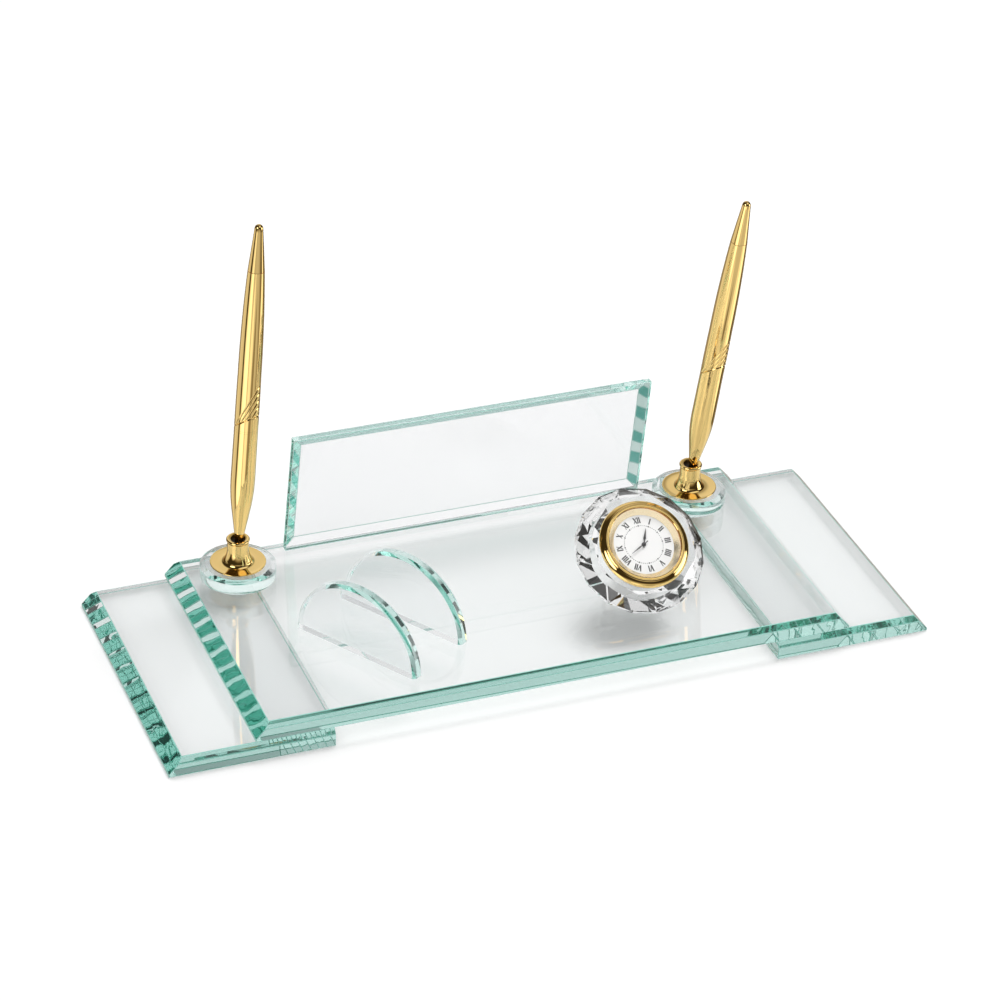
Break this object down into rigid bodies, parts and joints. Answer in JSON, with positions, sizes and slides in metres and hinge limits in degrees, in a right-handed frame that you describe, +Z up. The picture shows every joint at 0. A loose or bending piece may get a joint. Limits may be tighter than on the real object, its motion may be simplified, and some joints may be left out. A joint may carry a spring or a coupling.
{
  "type": "desk set",
  "caption": "Bevelled glass desk set with leaning gold pens in sockets, half-round card rests, a back panel and a faceted crystal clock.",
  "frame": {"origin": "centre of the footprint, on the desk surface", "axes": "+X along the base to the right, +Y to the back panel, +Z up"},
  "size_m": [0.305, 0.116, 0.1608],
  "materials": {
    "bevelled_glass": "polished",
    "cut_crystal": "polished",
    "polished_gold": "polished",
    "lens_glass": "polished",
    "white_dial": "satin",
    "black_hands": "satin",
    "black_plastic": "matt",
    "bright_steel": "satin",
    "gasket_rubber": "matt"
  },
  "bodies": {
    "stand": {"left_base_plate": "bevelled_glass", "right_base_plate": "bevelled_glass", "top_plate": "bevelled_glass", "back_panel": "bevelled_glass", "card_rest_front": "bevelled_glass", "card_rest_rear": "bevelled_glass", "left_stand_disc": "bevelled_glass", "left_socket": "polished_gold", "left_socket_liner": "black_plastic", "right_stand_disc": "bevelled_glass", "right_socket": "polished_gold", "right_socket_liner": "black_plastic", "clock_crystal": "cut_crystal"},
    "left_pen": {"left_lower_barrel": "polished_gold", "left_centre_ring": "polished_gold", "left_twist_sleeve": "bright_steel"},
    "left_pen_top": {"left_upper_barrel": "polished_gold", "left_finial": "polished_gold"},
    "left_pen_refill": {"left_refill": "bright_steel"},
    "right_pen": {"right_lower_barrel": "polished_gold", "right_centre_ring": "polished_gold", "right_twist_sleeve": "bright_steel"},
    "right_pen_top": {"right_upper_barrel": "polished_gold", "right_finial": "polished_gold"},
    "right_pen_refill": {"right_refill": "bright_steel"},
    "clock_insert": {"clock_bezel": "polished_gold", "clock_lens": "lens_glass", "dial_ring": "polished_gold", "clock_dial": "white_dial", "clock_case": "black_plastic", "clock_movement": "black_plastic", "clock_battery": "bright_steel", "battery_cover": "black_plastic", "clock_gasket": "gasket_rubber"},
    "minute_hand_turning": {"minute_hand": "black_hands"},
    "hour_hand_turning": {"hour_hand": "black_hands"},
    "setting_knob_turning": {"setting_knob": "black_plastic"}
  },
  "joints": [
    {"name": "left_pen_lift", "type": "slide", "parent": "stand", "child": "left_pen", "axis": [0.0747, 0.0498, 0.996], "range_m": [0, 0.05]},
    {"name": "left_pen_twist", "type": "hinge", "parent": "left_pen", "child": "left_pen_top", "pos_m": [-0.09087, 0.04319, 0.08047], "axis": [0.0747, 0.0498, 0.996], "range_deg": [0, 180]},
    {"name": "left_refill_slide", "type": "slide", "parent": "left_pen", "child": "left_pen_refill", "axis": [-0.0747, -0.0498, -0.996], "range_m": [0, 0.0024]},
    {"name": "right_pen_lift", "type": "slide", "parent": "stand", "child": "right_pen", "axis": [0.0196, -0.1777, 0.9839], "range_m": [0, 0.05]},
    {"name": "right_pen_twist", "type": "hinge", "parent": "right_pen", "child": "right_pen_top", "pos_m": [0.09418, 0.02824, 0.07977], "axis": [0.0196, -0.1777, 0.9839], "range_deg": [0, 180]},
    {"name": "right_refill_slide", "type": "slide", "parent": "right_pen", "child": "right_pen_refill", "axis": [-0.0196, 0.1777, -0.9839], "range_m": [0, 0.0024]},
    {"name": "clock_pull", "type": "slide", "parent": "stand", "child": "clock_insert", "axis": [0, -0.6018, 0.7986], "range_m": [0, 0.025]},
    {"name": "minute_turn", "type": "hinge", "parent": "clock_insert", "child": "minute_hand_turning", "pos_m": [0.0482, -0.0139, 0.03021], "axis": [0, 0.6018, -0.7986], "continuous": true},
    {"name": "hour_turn", "type": "hinge", "parent": "clock_insert", "child": "hour_hand_turning", "pos_m": [0.0482, -0.0139, 0.03021], "axis": [0, 0.6018, -0.7986], "continuous": true},
    {"name": "knob_turn", "type": "hinge", "parent": "clock_insert", "child": "setting_knob_turning", "pos_m": [0.0482, -0.0139, 0.03021], "axis": [0, 0.6018, -0.7986], "continuous": true}
  ],
  "couplings": [
    {"joint": "left_refill_slide", "follows": "left_pen_twist", "m_per_rad": 0.00076076},
    {"joint": "right_refill_slide", "follows": "right_pen_twist", "m_per_rad": 0.00076076},
    {"joint": "minute_turn", "follows": "knob_turn", "ratio": 1},
    {"joint": "hour_turn", "follows": "knob_turn", "ratio": 0.083333}
  ]
}
